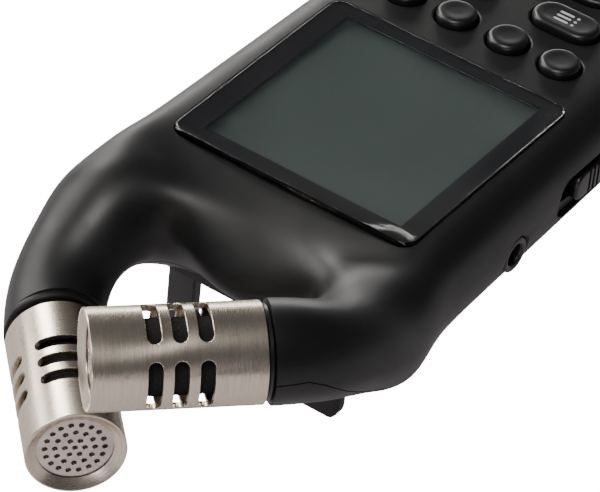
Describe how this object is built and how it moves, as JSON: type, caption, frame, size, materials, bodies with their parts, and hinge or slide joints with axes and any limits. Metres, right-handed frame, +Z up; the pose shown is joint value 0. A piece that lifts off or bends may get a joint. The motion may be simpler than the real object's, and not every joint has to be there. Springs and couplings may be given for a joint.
{
  "type": "handheld voice recorder",
  "caption": "Handheld stereo voice recorder with crossed microphone barrels on moulded arms, a large display, keys, a sliding battery door and a fold-out stand.",
  "frame": {"origin": "middle of the footprint, on the surface the recorder stands on with its stand unfolded", "axes": "+Y towards the microphone end, +Z up; the front face leans back towards the tail, away from the microphones"},
  "size_m": [0.0644, 0.1486, 0.0451],
  "materials": {
    "black_case": "soft-touch satin moulding",
    "black_key": "moulded rubber keys",
    "red_key": "satin moulding",
    "window": "polished, black border printed behind",
    "lcd": "grey-green unlit liquid crystal",
    "holder": "white moulding",
    "board": "solder mask",
    "mat": "silicone",
    "nickel": "brushed round the barrel",
    "foam": "open-cell foam",
    "steel": "plated",
    "brass": "machined",
    "rubber": "matt",
    "cell": "printed sleeve",
    "card": "matt"
  },
  "bodies": {
    "case": {"battery_contact_front": "steel", "battery_contact_tail": "steel", "battery_left": "cell", "battery_right": "cell", "battery_spring_left": "steel", "battery_spring_right": "steel", "card_socket": "steel", "case_screw_1": "steel", "case_screw_2": "steel", "case_screw_3": "steel", "case_screw_4": "steel", "display_window": "window", "front_shell": "black_case", "headphone_jack": "steel", "keypad_mat": "mat", "lcd_holder": "holder", "lcd_panel": "lcd", "line_in_jack": "steel", "main_board": "board", "memory_card": "card", "mic_barrel_left": "nickel", "mic_barrel_right": "nickel", "mic_capsule_left": "steel", "mic_capsule_right": "steel", "mic_collar_left": "black_case", "mic_collar_right": "black_case", "mic_foam_left": "foam", "mic_foam_right": "foam", "mic_grille_left": "nickel", "mic_grille_right": "nickel", "rear_foot_left": "rubber", "rear_foot_right": "rubber", "rear_shell": "black_case", "slide_switch": "steel", "speaker": "card", "stand_pin_left": "steel", "stand_pin_right": "steel", "tripod_insert": "brass", "usb_port": "steel", "volume_switch": "steel"},
    "function_button_1": {"function_button_1": "black_key"},
    "function_button_2": {"function_button_2": "black_key"},
    "function_button_3": {"function_button_3": "black_key"},
    "function_button_4": {"function_button_4": "black_key"},
    "option_button_left": {"option_button_left": "black_key"},
    "option_button_right": {"option_button_right": "black_key"},
    "record_button": {"record_button": "red_key"},
    "rocker_pivot": {"rocker_pivot": "holder"},
    "rocker_pad": {"rocker_pad": "black_key"},
    "power_slider": {"power_slider": "black_case"},
    "volume_rocker": {"volume_rocker": "black_case"},
    "card_door": {"card_door": "black_case"},
    "battery_door": {"battery_door": "black_case"},
    "stand": {"stand": "black_case"}
  },
  "joints": [
    {"name": "function_1_press", "type": "slide", "parent": "case", "child": "function_button_1", "axis": [0, 0.1376, -0.9905], "range_m": [0, 0.0006], "stiffness_N_per_m": 600, "springref_m": -0.0003},
    {"name": "function_2_press", "type": "slide", "parent": "case", "child": "function_button_2", "axis": [0, 0.1376, -0.9905], "range_m": [0, 0.0006], "stiffness_N_per_m": 600, "springref_m": -0.0003},
    {"name": "function_3_press", "type": "slide", "parent": "case", "child": "function_button_3", "axis": [0, 0.1376, -0.9905], "range_m": [0, 0.0006], "stiffness_N_per_m": 600, "springref_m": -0.0003},
    {"name": "function_4_press", "type": "slide", "parent": "case", "child": "function_button_4", "axis": [0, 0.1376, -0.9905], "range_m": [0, 0.0006], "stiffness_N_per_m": 600, "springref_m": -0.0003},
    {"name": "option_left_press", "type": "slide", "parent": "case", "child": "option_button_left", "axis": [0, 0.1376, -0.9905], "range_m": [0, 0.0006], "stiffness_N_per_m": 600, "springref_m": -0.0003},
    {"name": "option_right_press", "type": "slide", "parent": "case", "child": "option_button_right", "axis": [0, 0.1376, -0.9905], "range_m": [0, 0.0006], "stiffness_N_per_m": 600, "springref_m": -0.0003},
    {"name": "record_press", "type": "slide", "parent": "case", "child": "record_button", "axis": [0, 0.1376, -0.9905], "range_m": [0, 0.0006], "stiffness_N_per_m": 600, "springref_m": -0.0003},
    {"name": "rocker_up_down", "type": "hinge", "parent": "case", "child": "rocker_pivot", "pos_m": [0, -0.0599, 0.02003], "axis": [1, 0, 0], "range_deg": [-2.5, 2.5], "stiffness_Nm_per_rad": 0.3},
    {"name": "rocker_left_right", "type": "hinge", "parent": "rocker_pivot", "child": "rocker_pad", "pos_m": [0, -0.0599, 0.02003], "axis": [0, 0.9905, 0.1376], "range_deg": [-2.5, 2.5], "stiffness_Nm_per_rad": 0.3},
    {"name": "power_slide", "type": "slide", "parent": "case", "child": "power_slider", "axis": [0, 0.9905, 0.1376], "range_m": [-0.004, 0.004]},
    {"name": "volume_tilt", "type": "hinge", "parent": "case", "child": "volume_rocker", "pos_m": [0.0282, 0.00039, 0.02063], "axis": [0, -0.1376, 0.9905], "range_deg": [-2, 2], "stiffness_Nm_per_rad": 0.15},
    {"name": "card_door_swing", "type": "hinge", "parent": "case", "child": "card_door", "pos_m": [0.02747, -0.0493, 0.01494], "axis": [0, 0.1376, -0.9905], "range_deg": [0, 100]},
    {"name": "battery_door_slide", "type": "slide", "parent": "case", "child": "battery_door", "axis": [0, -0.9905, -0.1376], "range_m": [0, 0.05]},
    {"name": "stand_fold", "type": "hinge", "parent": "case", "child": "stand", "pos_m": [0, 0.02413, 0.01545], "axis": [1, 0, 0], "range_deg": [-90, 0]}
  ]
}
